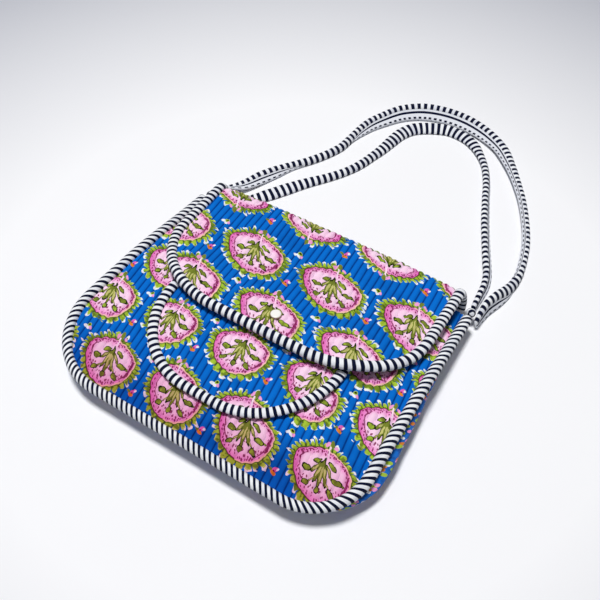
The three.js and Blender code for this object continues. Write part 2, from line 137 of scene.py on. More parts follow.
STRAP_INNER = (
    (-115, 107, 9, 5, 60, 0),
    (-106, 112.5, 9, 5, 45, 0),
    (-97, 116, 10, 5, 25, 0),
    (-89.5, 120.5, 11.5, 5, 5, 0),
    (-83, 128, 12.5, 5, -10, 0),
    (-73, 143.5, 12.5, 5, -12, 0),
    (-62, 160, 11, 5.5, -20, 0),
    (-50, 176, 9.5, 6, -28, 0),
    (-44.5, 184.5, 9, 6.5, -30, 0),
    (-39.5, 194, 9, 6.5, -30, 0),
    (-35, 206, 9.5, 6.5, -28, 0),
    (-32, 219, 10, 6, -25, 0),
    (-29.3, 232, 11, 6, -22, 0),
    (-27.5, 246, 12, 5.5, -20, 0),
    (-25, 260, 12.5, 5.5, -18, 0),
    (-19.5, 271.5, 13, 5.5, -16, 0),
    (-11.5, 278.5, 13, 5.5, -15, 0),
    (-2, 283.8, 12.8, 5.5, -15, 0),
    (8, 287.4, 12.5, 5.5, -15, 0),
    (19, 287.4, 12.2, 5.5, -12, 0),
    (29, 285, 12, 5.5, -8, 0),
    (38, 279.8, 11.5, 6, 0, 0),
    (47, 271.5, 10, 6.5, 12, -0.5),
    (55, 262, 9, 6.5, 20, -1),
    (64, 246, 9, 6.5, 25, -1.5),
    (74.5, 221, 9.5, 6.5, 28, -2),
    (84.5, 197.5, 10, 6.5, 30, -2.5),
    (95, 175, 10, 6.5, 32, -3),
    (104, 156.5, 10.5, 6.5, 35, -3.5),
    (109.3, 145.5, 10.5, 6.5, 38, -4),
    (112.6, 134, 10.5, 6, 45, -4),
    (113.8, 120, 10, 5.5, 58, -4),
    (114.5, 107, 9, 5, 72, -3),
)
STRAP_PITCH = 5.4
STRAP_DRAWN = Sizes(narrow=0.76, wide=0.94, start=9.5, span=5)
STRAP = Sizes(roll_faces=18, step=1.2, end=2.5, end_least=0.1, uneven=0.03, off_floor=0.03)
WEB = Sizes(faces=7, thick=2.2, least=0.4, edge=1.2, shows=0.5)

# Stitched channels: where the columns of a channel stand, from seam to seam, how deep the seams are, and how
# full and uneven the padding between them is. The seams lean, and sway a little.
SEAM_STEPS = (0, 0.07, 0.2, 0.35, 0.5, 0.65, 0.8, 0.93)
SEAM_DEPTH = 1.5
SWELL = Sizes(power=2.1, mean=0.88, slow=0.14, fast=0.1)
INNER_PAD = 0.3
FLAP_LEAN = 0.07
FRONT_LEAN = 0.12
SWAY = Sizes(side=0.22, across=11, up=8)

# The quilt runs a little way under its bindings. Beside them it has less padding, sinks and sways less.
UNDER_BINDING = 2.4
EDGE = Sizes(pad=0.35, pad_wide=7, sink=0.5, sink_wide=5, sway_wide=8, fold_inset=0.4)

# Broad unevenness of the cloth, rows of points from edge to edge, and the step along an outline
FRONT_SAG = Sizes(depth=0.5, apart=26, start=6, span=20)
FLAP_SAG = Sizes(depth=0.6, apart=30, start=5, span=20, back_span=30)
POCKET_PUFF = Sizes(height=0.7, wide=30)
ROWS = Sizes(front=84, pocket=60, flap=62, fold=26, back=50)
OUTLINE_STEP = 2

# The print: a half-drop repeat of leafy rosettes, which stand the other way up from the second row above the
# first on. A lattice says where a rosette of the first row stands, how far apart they are in a row and from
# row to row, how far each row is set over, and how steeply the rows climb to the right.
FLAP_PRINT = Sizes(x=-62.2, y=6.5, across=65.9, up=47.7, over=-11.2, climb=0)
FRONT_PRINT = Sizes(x=-87, y=15.9, across=55, up=44, over=-7.5, climb=0.024)
POCKET_PRINT = Sizes(x=-24.1, y=-68.5, across=56, up=43.4, over=-1.6, climb=0.08)

# Camera, in millimetres and degrees
CAMERA_PLACE = (206.2, -273.3, 456.1)
CAMERA_AZIMUTH = 32.4
CAMERA_ELEVATION = 50
CAMERA_LENS = 48
CAMERA_SENSOR = 36

# Floor and light, in metres. The floor is pale round the bag and darker further off: a painted pool of light
# that falls off into painted shade.
FLOOR = Sizes(half=3, y=0.05, near=0.24, far=0.6)
LIGHT_AIM = (0, 0.05, 0)
KEY_LIGHT = Sizes(place=(-0.4, 0.05, 3.2), wide=0.8, power=94, colour=(1.0, 0.99, 0.98))
FILL_LIGHT = Sizes(place=(0.9, -1.6, 2.6), wide=1.4, power=5, colour=(0.97, 0.98, 1.0))
SKY = Sizes(colour=(0.96, 0.98, 1.0, 1), strength=0.12)


def ease(value):
    value = np.clip(value, 0, 1)
    return value * value * (3 - 2 * value)


def wobble(u, v, seed):
    """Smooth uneven field from -1 to 1, with bumps about 3 units apart."""
    waves = np.sin(1.7 * u + 0.6 * v + seed) + np.sin(-0.8 * u + 1.9 * v + 2.3 * seed + 1)
    return (waves + np.sin(1.1 * u - 1.3 * v + 0.7 * seed + 4)) / 3


def rounded(share, least=0):
    """Quarter round that reaches 1 at share 1. Above 0, least keeps its start open."""
    return np.sqrt(np.clip(1 - (1 - np.clip(share, 0, 1)) ** 2, least, 1))


def unit(vectors):
    return vectors / np.linalg.norm(vectors, axis=1)[:, None]


def distances(line):
    """How far along a line each of its points is."""
    return np.concatenate([[0], np.cumsum(np.linalg.norm(np.diff(line, axis=0), axis=1))])


# Forms of the cloth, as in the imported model
def front_height(y):
    bottom = ease((FRONT_BOTTOM_DROP.start - y) / FRONT_BOTTOM_DROP.span)
    mouth = ease((y - FRONT_MOUTH_DROP.start) / FRONT_MOUTH_DROP.span)
    return FRONT_MIDDLE - FRONT_BOTTOM_DROP.depth * bottom - FRONT_MOUTH_DROP.depth * mouth


def flap_shift(y):
    return FLAP_SHIFT.side * ease((FLAP_SHIFT.start - y) / FLAP_SHIFT.span)


def flap_lift(x, y):
    aside = np.abs(x - flap_shift(y)) - FLAP_DROOP.aside
    droop = ease(aside / FLAP_DROOP.wide) * ease((FLAP_DROOP.start - y) / FLAP_DROOP.span)
    rise = FLAP_RISE.height * ease((FLAP_RISE.start - y) / FLAP_RISE.span)
    return rise - FLAP_DROOP.depth * droop


FOLD_MIDDLE = CLOTH / 2 + FOLD.half_height
FOLD_TOP = CLOTH / 2 + 2 * FOLD.half_height


def arc(centre, wide, tall, start, end, count=40):
    turn = np.radians(np.linspace(start, end, count))
    return np.stack([centre[0] + wide * np.cos(turn), centre[1] + tall * np.sin(turn)], 1)


def corner_outline(size, top, left, right, inset, middle=0):
    """Down the left side, along the bottom and up the right side. left and right are the width and the height
    of a round corner."""
    half, half_top, bottom = size.half, size.half_top, size.bottom
    return np.concatenate([
        [(middle - half_top + inset, top)],
        arc((middle - half + left[0], bottom + left[1]), left[0] - inset, left[1] - inset, 180, 270),
        arc((middle + half - right[0], bottom + right[1]), right[0] - inset, right[1] - inset, 270, 360),
        [(middle + half_top - inset, top)],
    ])


def bag_outline(size, inset=0, top=None):
    top = size.top if top is None else top
    return corner_outline(size, top, (size.left,) * 2, (size.right,) * 2, inset)


def flap_outline(inset=0):
    corner = (FLAP.corner_wide, FLAP.corner_tall)
    line = corner_outline(FLAP, FOLD.start, corner, corner, inset)
    line[:, 0] += flap_shift(line[:, 1])
    return line


def pocket_outline(inset=0):
    corner = (POCKET.corner_wide, POCKET.corner_tall)
    return corner_outline(POCKET, POCKET.top, corner, corner, inset, POCKET.middle)


def spaced(line, step):
    """The line again, with points evenly about step apart, and each one's distance along it."""
    along = distances(line)
    at = np.linspace(0, along[-1], math.ceil(along[-1] / step) + 1)
    return np.stack([np.interp(at, along, axis) for axis in line.T], 1), at


def edge_distance(points, line):
    """How far each point lies from an outline."""
    start, run = line[:-1], np.diff(line, axis=0)
    best = np.full(len(points), np.inf)
    for a, d in zip(start, run):
        share = np.clip(((points - a) @ d) / max(d @ d, 1e-9), 0, 1)
        best = np.minimum(best, np.linalg.norm(points - a - share[:, None] * d, axis=1))
    return best


# Making pieces
def make_piece(node, word, vertices, faces, maps, material):
    """A smooth mesh that rides on the bag and stands for a CAD node. Its name is the node's with a word added,
    and maps holds UV corners for each face."""
    name = f"{node}_{word}"
    mesh = bpy.data.meshes.new(name)
    on_floor = np.maximum(vertices, (-np.inf, -np.inf, 0))
    mesh.from_pydata((on_floor * MM).tolist(), [], [list(face) for face in faces])
    for layer, corners in maps.items():
        uv = mesh.uv_layers.new(name=layer)
        uv.data.foreach_set("uv", np.concatenate(corners).astype(np.float32).ravel())
    mesh.polygons.foreach_set("use_smooth", np.ones(len(mesh.polygons), bool))
    mesh.materials.append(material)
    mesh.update()
    piece = bpy.data.objects.new(name, mesh)
    bpy.context.scene.collection.objects.link(piece)
    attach(piece, "root")
    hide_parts(node)
    return piece


def grid_faces(columns, rows):
    index = np.arange(columns * rows).reshape(columns, rows)
    quads = [index[:-1, :-1], index[1:, :-1], index[1:, 1:], index[:-1, 1:]]
    return np.stack(quads, -1).reshape(-1, 4)


def shell_faces(faces, count):
    """Faces of a cloth with two sides, each of count points, closed by walls round its rim."""
    edges = np.concatenate([faces[:, [0, 1]], faces[:, [1, 2]], faces[:, [2, 3]], faces[:, [3, 0]]])
    _, first, uses = np.unique(np.sort(edges, 1), axis=0, return_index=True, return_counts=True)
    rim = edges[first[uses == 1]]
    walls = np.stack([rim[:, 1], rim[:, 0], rim[:, 0] + count, rim[:, 1] + count], 1)
    return np.concatenate([faces, faces[:, ::-1] + count, walls])


def ring_faces(rings, sides):
    """Faces between rings of points, and a cap at each end."""
    index = np.arange(rings * sides).reshape(rings, sides)
    after = np.roll(index, -1, axis=1)
    quads = np.stack([index[:-1], after[:-1], after[1:], index[1:]], -1).reshape(-1, 4)
    return quads.tolist() + [index[0][::-1].tolist(), index[-1].tolist()]


def span(polygon, columns):
    """Lowest and highest point of a closed round outline on each upright line."""
    low, high = np.full(len(columns), np.inf), np.full(len(columns), -np.inf)
    for (x1, y1), (x2, y2) in zip(polygon, np.roll(polygon, -1, axis=0)):
        if x1 == x2:
            continue
        share = (columns - x1) / (x2 - x1)
        y = np.where((share >= 0) & (share <= 1), y1 + share * (y2 - y1), np.nan)
        low, high = np.fmin(low, y), np.fmax(high, y)
    return low, high


def seam_columns(polygon, also=()):
    """Upright lines through an outline, closer together by the seams."""
    left, right = polygon[:, 0].min(), polygon[:, 0].max()
    first, last = math.floor(left / CHANNEL), math.ceil(right / CHANNEL)
    lines = (np.arange(first, last)[:, None] + np.array(SEAM_STEPS)).ravel() * CHANNEL
    near = min(np.diff(SEAM_STEPS)) * CHANNEL / 3
    ends = np.array([left + 1e-3, right - 1e-3, *also])
    clear = np.abs(lines[:, None] - ends).min(1) > near
    lines = lines[(lines > left) & (lines < right) & clear]
    return np.sort(np.concatenate([lines, ends]))


def sheet_grid(polygon, rows, also=()):
    """Points (column line, height) that fill an outline, and the faces between them."""
    lines = seam_columns(polygon, also)
    low, high = span(polygon, lines)
    share = np.linspace(0, 1, rows)
    height = low[:, None] + (high - low)[:, None] * share
    points = np.stack([np.repeat(lines, rows), height.ravel()], 1)
    return points, grid_faces(len(lines), rows)


def merged(grids):
    """Several grids as one, joined where their points are the same."""
    points = np.concatenate([g[0] for g in grids])
    starts = np.cumsum([0] + [len(g[0]) for g in grids[:-1]])
    faces = np.concatenate([g[1] + start for g, start in zip(grids, starts)])
    kept, index = np.unique(np.round(points, 3), axis=0, return_inverse=True)
    return kept, index.reshape(-1)[faces]


def swell(line, along, seed):
    """Padding between the seams: 0 at a seam and about 1 between two."""
    phase = np.mod(line / CHANNEL, 1)
    channel = np.floor(line / CHANNEL)
    slow = wobble(2.1 * channel, along / 9, seed)
    fast = wobble(3 * channel, along / 2.4, seed + 2)
    tall = SWELL.mean + SWELL.slow * slow + SWELL.fast * fast
    return tall * (1 - np.abs(2 * phase - 1) ** SWELL.power)


def quilted(node, grid, form, lattice, lean, edge, seed, material):
    """Quilted cloth with an outer and an inner face. form(x, along, out) gives the place of its points, lean
    says how far the seams slant, and edge how near each point is to a binding."""
    points, faces = grid
    line, along = points[:, 0], points[:, 1]
    sway = SWAY.side * wobble(line / SWAY.across, along / SWAY.up, seed + 5)
    x = line - lean(along) + sway * np.minimum(edge / EDGE.sway_wide, 1)
    pad = swell(line, along, seed) * (EDGE.pad + (1 - EDGE.pad) * ease(edge / EDGE.pad_wide))
    sunk = SEAM_DEPTH * (1 - pad) + EDGE.sink * (1 - ease(edge / EDGE.sink_wide))
    outer = form(x, along, CLOTH / 2 - sunk)
    inner = form(x, along, INNER_PAD * pad - CLOTH / 2)
    every = shell_faces(faces, len(points))
    row = (along - lattice.climb * x - lattice.y) / lattice.up
    maps = {
        "Print": np.stack([(x - lattice.x - lattice.over * row) / lattice.across, row], 1),
        "Cloth": points / CHANNEL,
    }
    corners = {layer: np.concatenate([uv, uv])[every] for layer, uv in maps.items()}
    vertices = np.concatenate([outer, inner])
    piece = make_piece(node, "quilt", vertices, every, corners, material)
    return piece


def slanted(points, lean, way=1):
    """Points with the seams' slant taken out, so that they are upright, or put back with way -1."""
    return np.stack([points[:, 0] + way * lean(points[:, 1]), points[:, 1]], 1)


def sag(size, x, along, edge, seed):
    """Broad unevenness of a cloth, away from its edges."""
    uneven = size.depth * wobble(x / size.apart, along / size.apart, seed)
    return uneven * ease((edge - size.start) / size.span)


def front_lean(y):
    return FRONT_LEAN * y


def front_grid(outline, rows):
    """Points and faces of a cloth on the front, and how near each point is to its outline."""
    grid = sheet_grid(slanted(outline, front_lean), rows)
    return grid, edge_distance(slanted(grid[0], front_lean, -1), outline)


def front_panel(material):
    grid, edge = front_grid(bag_outline(FRONT, UNDER_BINDING), ROWS.front)

    def form(x, y, out):
        return np.stack([x, y, front_height(y) + out + sag(FRONT_SAG, x, y, edge, 1)], 1)

    return quilted("front_panel", grid, form, FRONT_PRINT, front_lean, edge, 1, material)


def front_pocket(material):
    grid, edge = front_grid(pocket_outline(UNDER_BINDING), ROWS.pocket)
    puff = POCKET_PUFF.height * ease(edge / POCKET_PUFF.wide)

    def form(x, y, out):
        return np.stack([x, y, front_height(y) + POCKET_FLOOR + out + puff], 1)

    return quilted("front_pocket", grid, form, POCKET_PRINT, front_lean, edge, 1, material)


FOLD_LENGTH = math.pi * math.sqrt((FOLD.reach ** 2 + FOLD.half_height ** 2) / 2)
BACK_START = FOLD.start + FOLD_LENGTH


def flap_lean(along):
    return FLAP_LEAN * np.minimum(along - FOLD.start, 0)


def fold_grid(ends):
    """Points and faces of the cloth over the fold, from end to end."""
    lines = seam_columns(np.array([(x, 0) for x in ends]))
    lines[[0, -1]] = ends
    bends = np.linspace(FOLD.start, BACK_START, ROWS.fold)
    points = np.stack([np.repeat(lines, len(bends)), np.tile(bends, len(lines))], 1)
    return points, grid_faces(len(lines), len(bends))


def back_and_flap(material):
    """One cloth from the flap's lower edge over the fold and down the back. along is measured on it."""
    end = FLAP.half_top - UNDER_BINDING
    ends = (-end, end)
    flap = flap_outline(UNDER_BINDING)
    back = np.concatenate([bag_outline(BACK, UNDER_BINDING, BACK_BINDING_TOP),
                           [(end, FOLD.start), (-end, FOLD.start)]])
    back[:, 1] = BACK_START + FOLD.start - back[:, 1]
    flap_grid = sheet_grid(slanted(flap, flap_lean), ROWS.flap, ends)
    grid = merged([flap_grid, fold_grid(ends), sheet_grid(back, ROWS.back, ends)])
    place = slanted(grid[0], flap_lean, -1)
    near_end = end - EDGE.fold_inset
    sides = [np.array([(x, FOLD.start), (x, BACK_START)]) for x in (-near_end, near_end)]
    edge = np.min([edge_distance(place, line) for line in (flap, *sides, back[:-2])], 0)

    def form(x, along, out):
        turn = np.clip((along - FOLD.start) / FOLD_LENGTH, 0, 1) * math.pi
        out_y, out_z = np.sin(turn), np.cos(turn)
        beyond = np.maximum(along - BACK_START, 0)
        y = np.minimum(along, FOLD.start) + FOLD.reach * out_y - beyond
        pull = FOLD.end_pull * np.minimum(np.abs(x) / FLAP.half_top, 1.1) ** 4 * out_y
        lift = np.where(along < FOLD.start, flap_lift(x, along), 0)
        uneven = sag(FLAP_SAG, x, along, edge, 3) * ease((BACK_START - along) / FLAP_SAG.back_span)
        z = FOLD_MIDDLE + FOLD.half_height * out_z + lift
        return np.stack([x, y - pull + out_y * out, z + out_z * out + uneven], 1)

    return quilted("back_and_flap", grid, form, FLAP_PRINT, flap_lean, edge, 3, material)


# Rolled bindings and straps
def frames_along(at, up):
    """The sideways and upward directions at each point of a line."""
    ahead = unit(np.gradient(at, axis=0))
    side = unit(np.cross(ahead, up))
    return side, np.cross(side, ahead)


def closed_ends(along, length, least):
    """How a band narrows to its round ends."""
    return rounded(np.minimum(along, along[-1] - along) / length, least)


def sweep(node, word, at, up, section, around, bars, layer, material):
    """A closed band: section (stations, points, 2) carried along a line. bars and around (stations, points,
    2) are the two UV values at the two edges of each face round the section."""
    side, rise = frames_along(at, up)
    stations, sides = section.shape[:2]
    places = at[:, None] + section[..., :1] * side[:, None] + section[..., 1:] * rise[:, None]
    station, corner = np.meshgrid(np.arange(stations - 1), np.arange(sides), indexing="ij")
    where = [(station, 0), (station, 1), (station + 1, 1), (station + 1, 0)]
    values = np.stack([bars, around], -1)
    uv = np.stack([values[i, corner, j] for i, j in where], 2).reshape(-1, 4, 2)
    cap_uv = [np.tile(values[i, 0, 0], (sides, 1)) for i in (0, -1)]
    return make_piece(node, word, places.reshape(-1, 3), ring_faces(stations, sides), {layer: [*uv, *cap_uv]},
                      material)


def roll(node, line, size, up_at, pitch, seed, material):
    """Binding rolled round an edge. pitch(place) is how far apart its printed bars are."""
    at, along = spaced(line, ROLL.step)
    up = np.array([up_at(p) for p in at])
    turn = np.linspace(0, 2 * math.pi, ROLL.sides, endpoint=False)
    steps = np.array([pitch(p) for p in at])
    bars = np.concatenate([[0], np.cumsum(np.diff(along) / ((steps[1:] + steps[:-1]) / 2))])
    closing = closed_ends(along, ROLL.end * size.thick, ROLL.end_least)
    pucker = ROLL.pucker * np.cos(2 * math.pi * bars)[:, None]
    uneven = ROLL.uneven * wobble(along[:, None] / 4, 2 * np.sin(turn)[None, :], seed)
    drawn = 1 - size.drawn * ease((ROLL_DRAWN.start - at[:, 1]) / ROLL_DRAWN.span)
    scale = (closing * drawn)[:, None] * (1 + pucker + uneven)
    across = size.wide / 2 * np.cos(turn)
    tall = size.thick / 2 * np.sin(turn)
    section = np.stack([across * scale, tall * scale], -1)
    share = np.linspace(0, 1, ROLL.sides + 1)
    edges = np.column_stack([share[:-1], share[1:]])
    around = np.broadcast_to(edges, (len(at), *edges.shape))
    leaning = bars[:, None, None] + size.bias * np.cos(2 * math.pi * edges)
    piece = sweep(node, "roll", at, up, section, around, leaning, "Bars", material)
    return piece


def upright(place):
    return (0, 0, 1)


def lifted(outline, height):
    """An outline laid on a surface, whose height(points) is given."""
    points = spaced(outline, OUTLINE_STEP)[0]
    return np.column_stack([points, height(points)])


def front_binding(material):
    line = lifted(bag_outline(FRONT), lambda p: front_height(p[:, 1]))

    def pitch(p):
        if p[1] < FRONT.bottom + FRONT_BARS.bottom_tall:
            return FRONT_BARS.bottom
        on_left_side = p[0] < 0 and p[1] > FRONT.bottom + FRONT.left
        return FRONT_BARS.left if on_left_side else FRONT_BARS.rest

    roll("front_binding", line, FRONT_ROLL, upright, pitch, 1, material)


def back_binding(material):
    outline = bag_outline(BACK, 0, BACK_BINDING_TOP)
    line = lifted(outline, lambda p: np.full(len(p), BACK_ROLL.thick / 2))
    roll("back_binding", line, BACK_ROLL, upright, lambda p: BACK_BARS, 2, material)


def pocket_binding(material):
    rise = CLOTH / 2 + POCKET_GAP + POCKET_ROLL.thick / 2
    line = lifted(pocket_outline(), lambda p: front_height(p[:, 1]) + rise)

    def pitch(p):
        return POCKET_BARS.left if p[0] < POCKET.middle else POCKET_BARS.right

    roll("pocket_binding", line, POCKET_ROLL, upright, pitch, 3, material)


def flap_binding(material):
    edge = lifted(flap_outline(), lambda p: FOLD_TOP + flap_lift(p[:, 0], p[:, 1]))
    degrees = np.linspace(FOLD_END.low, FOLD_END.high, FOLD_END.points)
    bend = np.radians(degrees)
    spread = FOLD_END.spread * ease((FOLD_END.start - degrees) / FOLD_END.span)
    over = np.column_stack([FLAP.half_top + spread, FOLD.start + FOLD_END.reach * np.cos(bend),
                            FOLD_MIDDLE + FOLD.half_height * np.sin(bend)])
    line = np.concatenate([over * (-1, 1, 1), edge, over[::-1]])

    def up_at(p):
        out = (p[1] - FOLD.start) / FOLD_END.reach
        return (0, out, (p[2] - FOLD_MIDDLE) / FOLD.half_height) if out > 0 else (0, 0, 1)

    def pitch(p):
        low = p[1] < FLAP.bottom + FLAP.corner_tall
        if p[0] < FLAP.corner_wide - FLAP.half:
            return FLAP_BARS.low_left if low else FLAP_BARS.high_left
        return FLAP_BARS.low_right if low else FLAP_BARS.high_right

    roll("flap_binding", line, FLAP_ROLL, up_at, pitch, 4, material)


def gusset_ends(material):
    for side, word in ((-1, "left"), (1, "right")):
        line = np.array([GUSSET_END_UPPER, GUSSET_END_LOWER]) * (side, 1, 1)
        roll(f"gusset_end_{word}", line, END_ROLL, upright, lambda p: END_BARS, 5, material)


def smooth_route(places, step):
    """A smooth line through places, with the share of the way from row to row at each of its points."""
    knots = distances(places)
    slope = np.gradient(places, knots, axis=0)
    at = np.linspace(0, knots[-1], math.ceil(knots[-1] / step) + 1)
    row = np.clip(np.searchsorted(knots, at, side="right") - 1, 0, len(knots) - 2)
    gap = (knots[row + 1] - knots[row])[:, None]
    t = (at - knots[row])[:, None] / gap
    a, b = places[row], places[row + 1]
    line = (2 * t**3 - 3 * t**2 + 1) * a + (t**3 - 2 * t**2 + t) * gap * slope[row]
    line += (3 * t**2 - 2 * t**3) * b + (t**3 - t**2) * gap * slope[row + 1]
    return line, row + t[:, 0]


def strap_section(half, thick, web):
    """Rolled part with a flat web on one side or on neither: its top from the inner to the outer edge, then
    its underside back. Also the second UV value of its faces: 0 to 1 on the roll, 2 to 3 and 4 to 5 on an
    open web."""
    inner = np.maximum(web, 0)
    outer = np.maximum(-web, 0)
    knots = np.stack([half, half - inner - WEB.least, outer + WEB.least - half, -half], 1)
    counts = (WEB.faces, STRAP.roll_faces, WEB.faces)
    shares = [np.linspace(0, 1, n, endpoint=False) for n in counts]
    shares[1] = (1 - np.cos(math.pi * shares[1])) / 2
    top = [knots[:, [i]] + (knots[:, [i + 1]] - knots[:, [i]]) * share for i, share in enumerate(shares)]
    place = np.concatenate([*top, knots[:, 3:]], 1)
    middle = (outer - inner)[:, None] / 2
    reach = (half - np.abs(web) / 2)[:, None]
    roll = thick[:, None] / 2 * np.sqrt(np.clip(1 - ((place - middle) / reach) ** 2, 0, 1))
    opening = ease(np.abs(web) / 2)[:, None]
    flat = WEB.thick / 2 * rounded((half[:, None] - np.abs(place)) / WEB.edge) * opening
    on_web = (place - middle) * np.sign(web)[:, None] > 0
    height = np.where(on_web, np.maximum(roll, flat), roll)
    section = np.stack([place, height], -1)
    below = section[:, -2:0:-1] * (1, -1)
    ticks = [np.linspace(*ends, n + 1) for ends, n in zip(((3, 2), (0, 1), (4, 5)), counts)]
    faces = np.concatenate([np.column_stack([t[:-1], t[1:]]) for t in ticks])
    around = np.broadcast_to(faces, (len(half), *faces.shape)).copy()
    around[inner < WEB.shows, :WEB.faces] = 0
    around[outer < WEB.shows, -WEB.faces:] = 1
    return np.concatenate([section, below], 1), np.concatenate([around, around[:, ::-1, ::-1]], 1)


def strap(node, table, seed, material):
    rows = {key: np.array(column, float) for key, column in zip(STRAP_COLUMNS, zip(*table))}
    line, spot = smooth_route(np.column_stack([rows["x"], rows["y"]]), STRAP.step)
    value = {key: np.interp(spot, np.arange(len(table)), rows[key]) for key in STRAP_COLUMNS[2:]}
    tilt = np.radians(value["tilt"])
    open_out = ease((value["width"] - STRAP_DRAWN.start) / STRAP_DRAWN.span)
    drawn = STRAP_DRAWN.narrow + (STRAP_DRAWN.wide - STRAP_DRAWN.narrow) * open_out
    half, thick = drawn * value["width"] / 2, drawn * value["thick"]
    height = np.hypot(half * np.sin(tilt), thick / 2 * np.cos(tilt)) + STRAP.off_floor
    at = np.column_stack([line, height])
    ahead = unit(np.gradient(line, axis=0))
    across = np.column_stack([ahead[:, 1], -ahead[:, 0], np.zeros(len(line))])
    up = np.cos(tilt)[:, None] * (0, 0, 1) - np.sin(tilt)[:, None] * across
    along = distances(line)
    section, around = strap_section(half, thick, value["web"])
    uneven = 1 + STRAP.uneven * wobble(along[:, None] / 5, section[..., 0] / 3, seed)
    section = section * closed_ends(along, STRAP.end, STRAP.end_least)[:, None, None]
    section[..., 1] *= uneven
    bars = np.broadcast_to((along / STRAP_PITCH)[:, None, None], around.shape)
    piece = sweep(node, "band", at, up, section, around, bars, "Strap", material)
    return (piece, 2 * half.max() * MM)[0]


# Gusset and press stud
def evenly(line, count):
    """The line again, as count points evenly apart."""
    close = spaced(line, 0.5)[0]
    at = np.linspace(0, len(close) - 1, count)
    return np.stack([np.interp(at, np.arange(len(close)), axis) for axis in close.T], 1)


def gusset(material):
    """Strip between the bound edges, bowed outward at the sides."""
    steps, layers = 260, 12
    high = evenly(bag_outline(FRONT, 0, FRONT.top - GUSSET.end_clear), steps)
    low = evenly(bag_outline(BACK), steps)
    share = np.linspace(0, 1, steps)
    ahead = unit(np.gradient(high, axis=0))
    outward = np.column_stack([ahead[:, 1], -ahead[:, 0], np.zeros(steps)])
    top = np.column_stack([high, front_height(high[:, 1]) - FRONT_ROLL.thick / 2 + GUSSET.tuck])
    base = np.column_stack([low, np.full(steps, BACK_ROLL.thick - GUSSET.tuck)])
    sideways = outward[:, 0] ** 2 * ease(4 * share) * ease(4 - 4 * share)
    bow = GUSSET.bottom_bulge + (GUSSET.bulge - GUSSET.bottom_bulge) * sideways
    across = np.linspace(0, 1, layers)
    middle = base[:, None] + (top - base)[:, None] * across[:, None]
    along = distances(high)
    crease = GUSSET.crease * wobble(along[:, None] / 6, 3 * across[None, :], 2)
    reach = (bow[:, None] + crease) * np.sin(math.pi * across)
    sides = [reach + way * GUSSET.wall / 2 for way in (1, -1)]
    vertices = np.concatenate([(middle + out[..., None] * outward[:, None]).reshape(-1, 3) for out in sides])
    every = shell_faces(grid_faces(steps, layers), steps * layers)
    uv = np.stack(np.broadcast_arrays(along[:, None] / 10, 1.4 * across[None, :]), -1).reshape(-1, 2)
    maps = {"Cloth": np.concatenate([uv, uv])[every]}
    piece = make_piece("gusset", "strip", vertices, every, maps, material)
    return piece


def press_stud(node, size, height, material):
    """Low round cap with a groove inside its rim."""
    out, up = np.array(STUD_PROFILE).T[..., None]
    turn = np.linspace(0, 2 * math.pi, STUD.sides, endpoint=False)
    x = STUD.x + out * size.radius * np.cos(turn)
    y = STUD.y + out * size.radius * np.sin(turn)
    rings = np.stack(np.broadcast_arrays(x, y, height + up * size.rise), -1)
    return make_piece(node, "white", rings.reshape(-1, 3), ring_faces(*x.shape), {}, material)


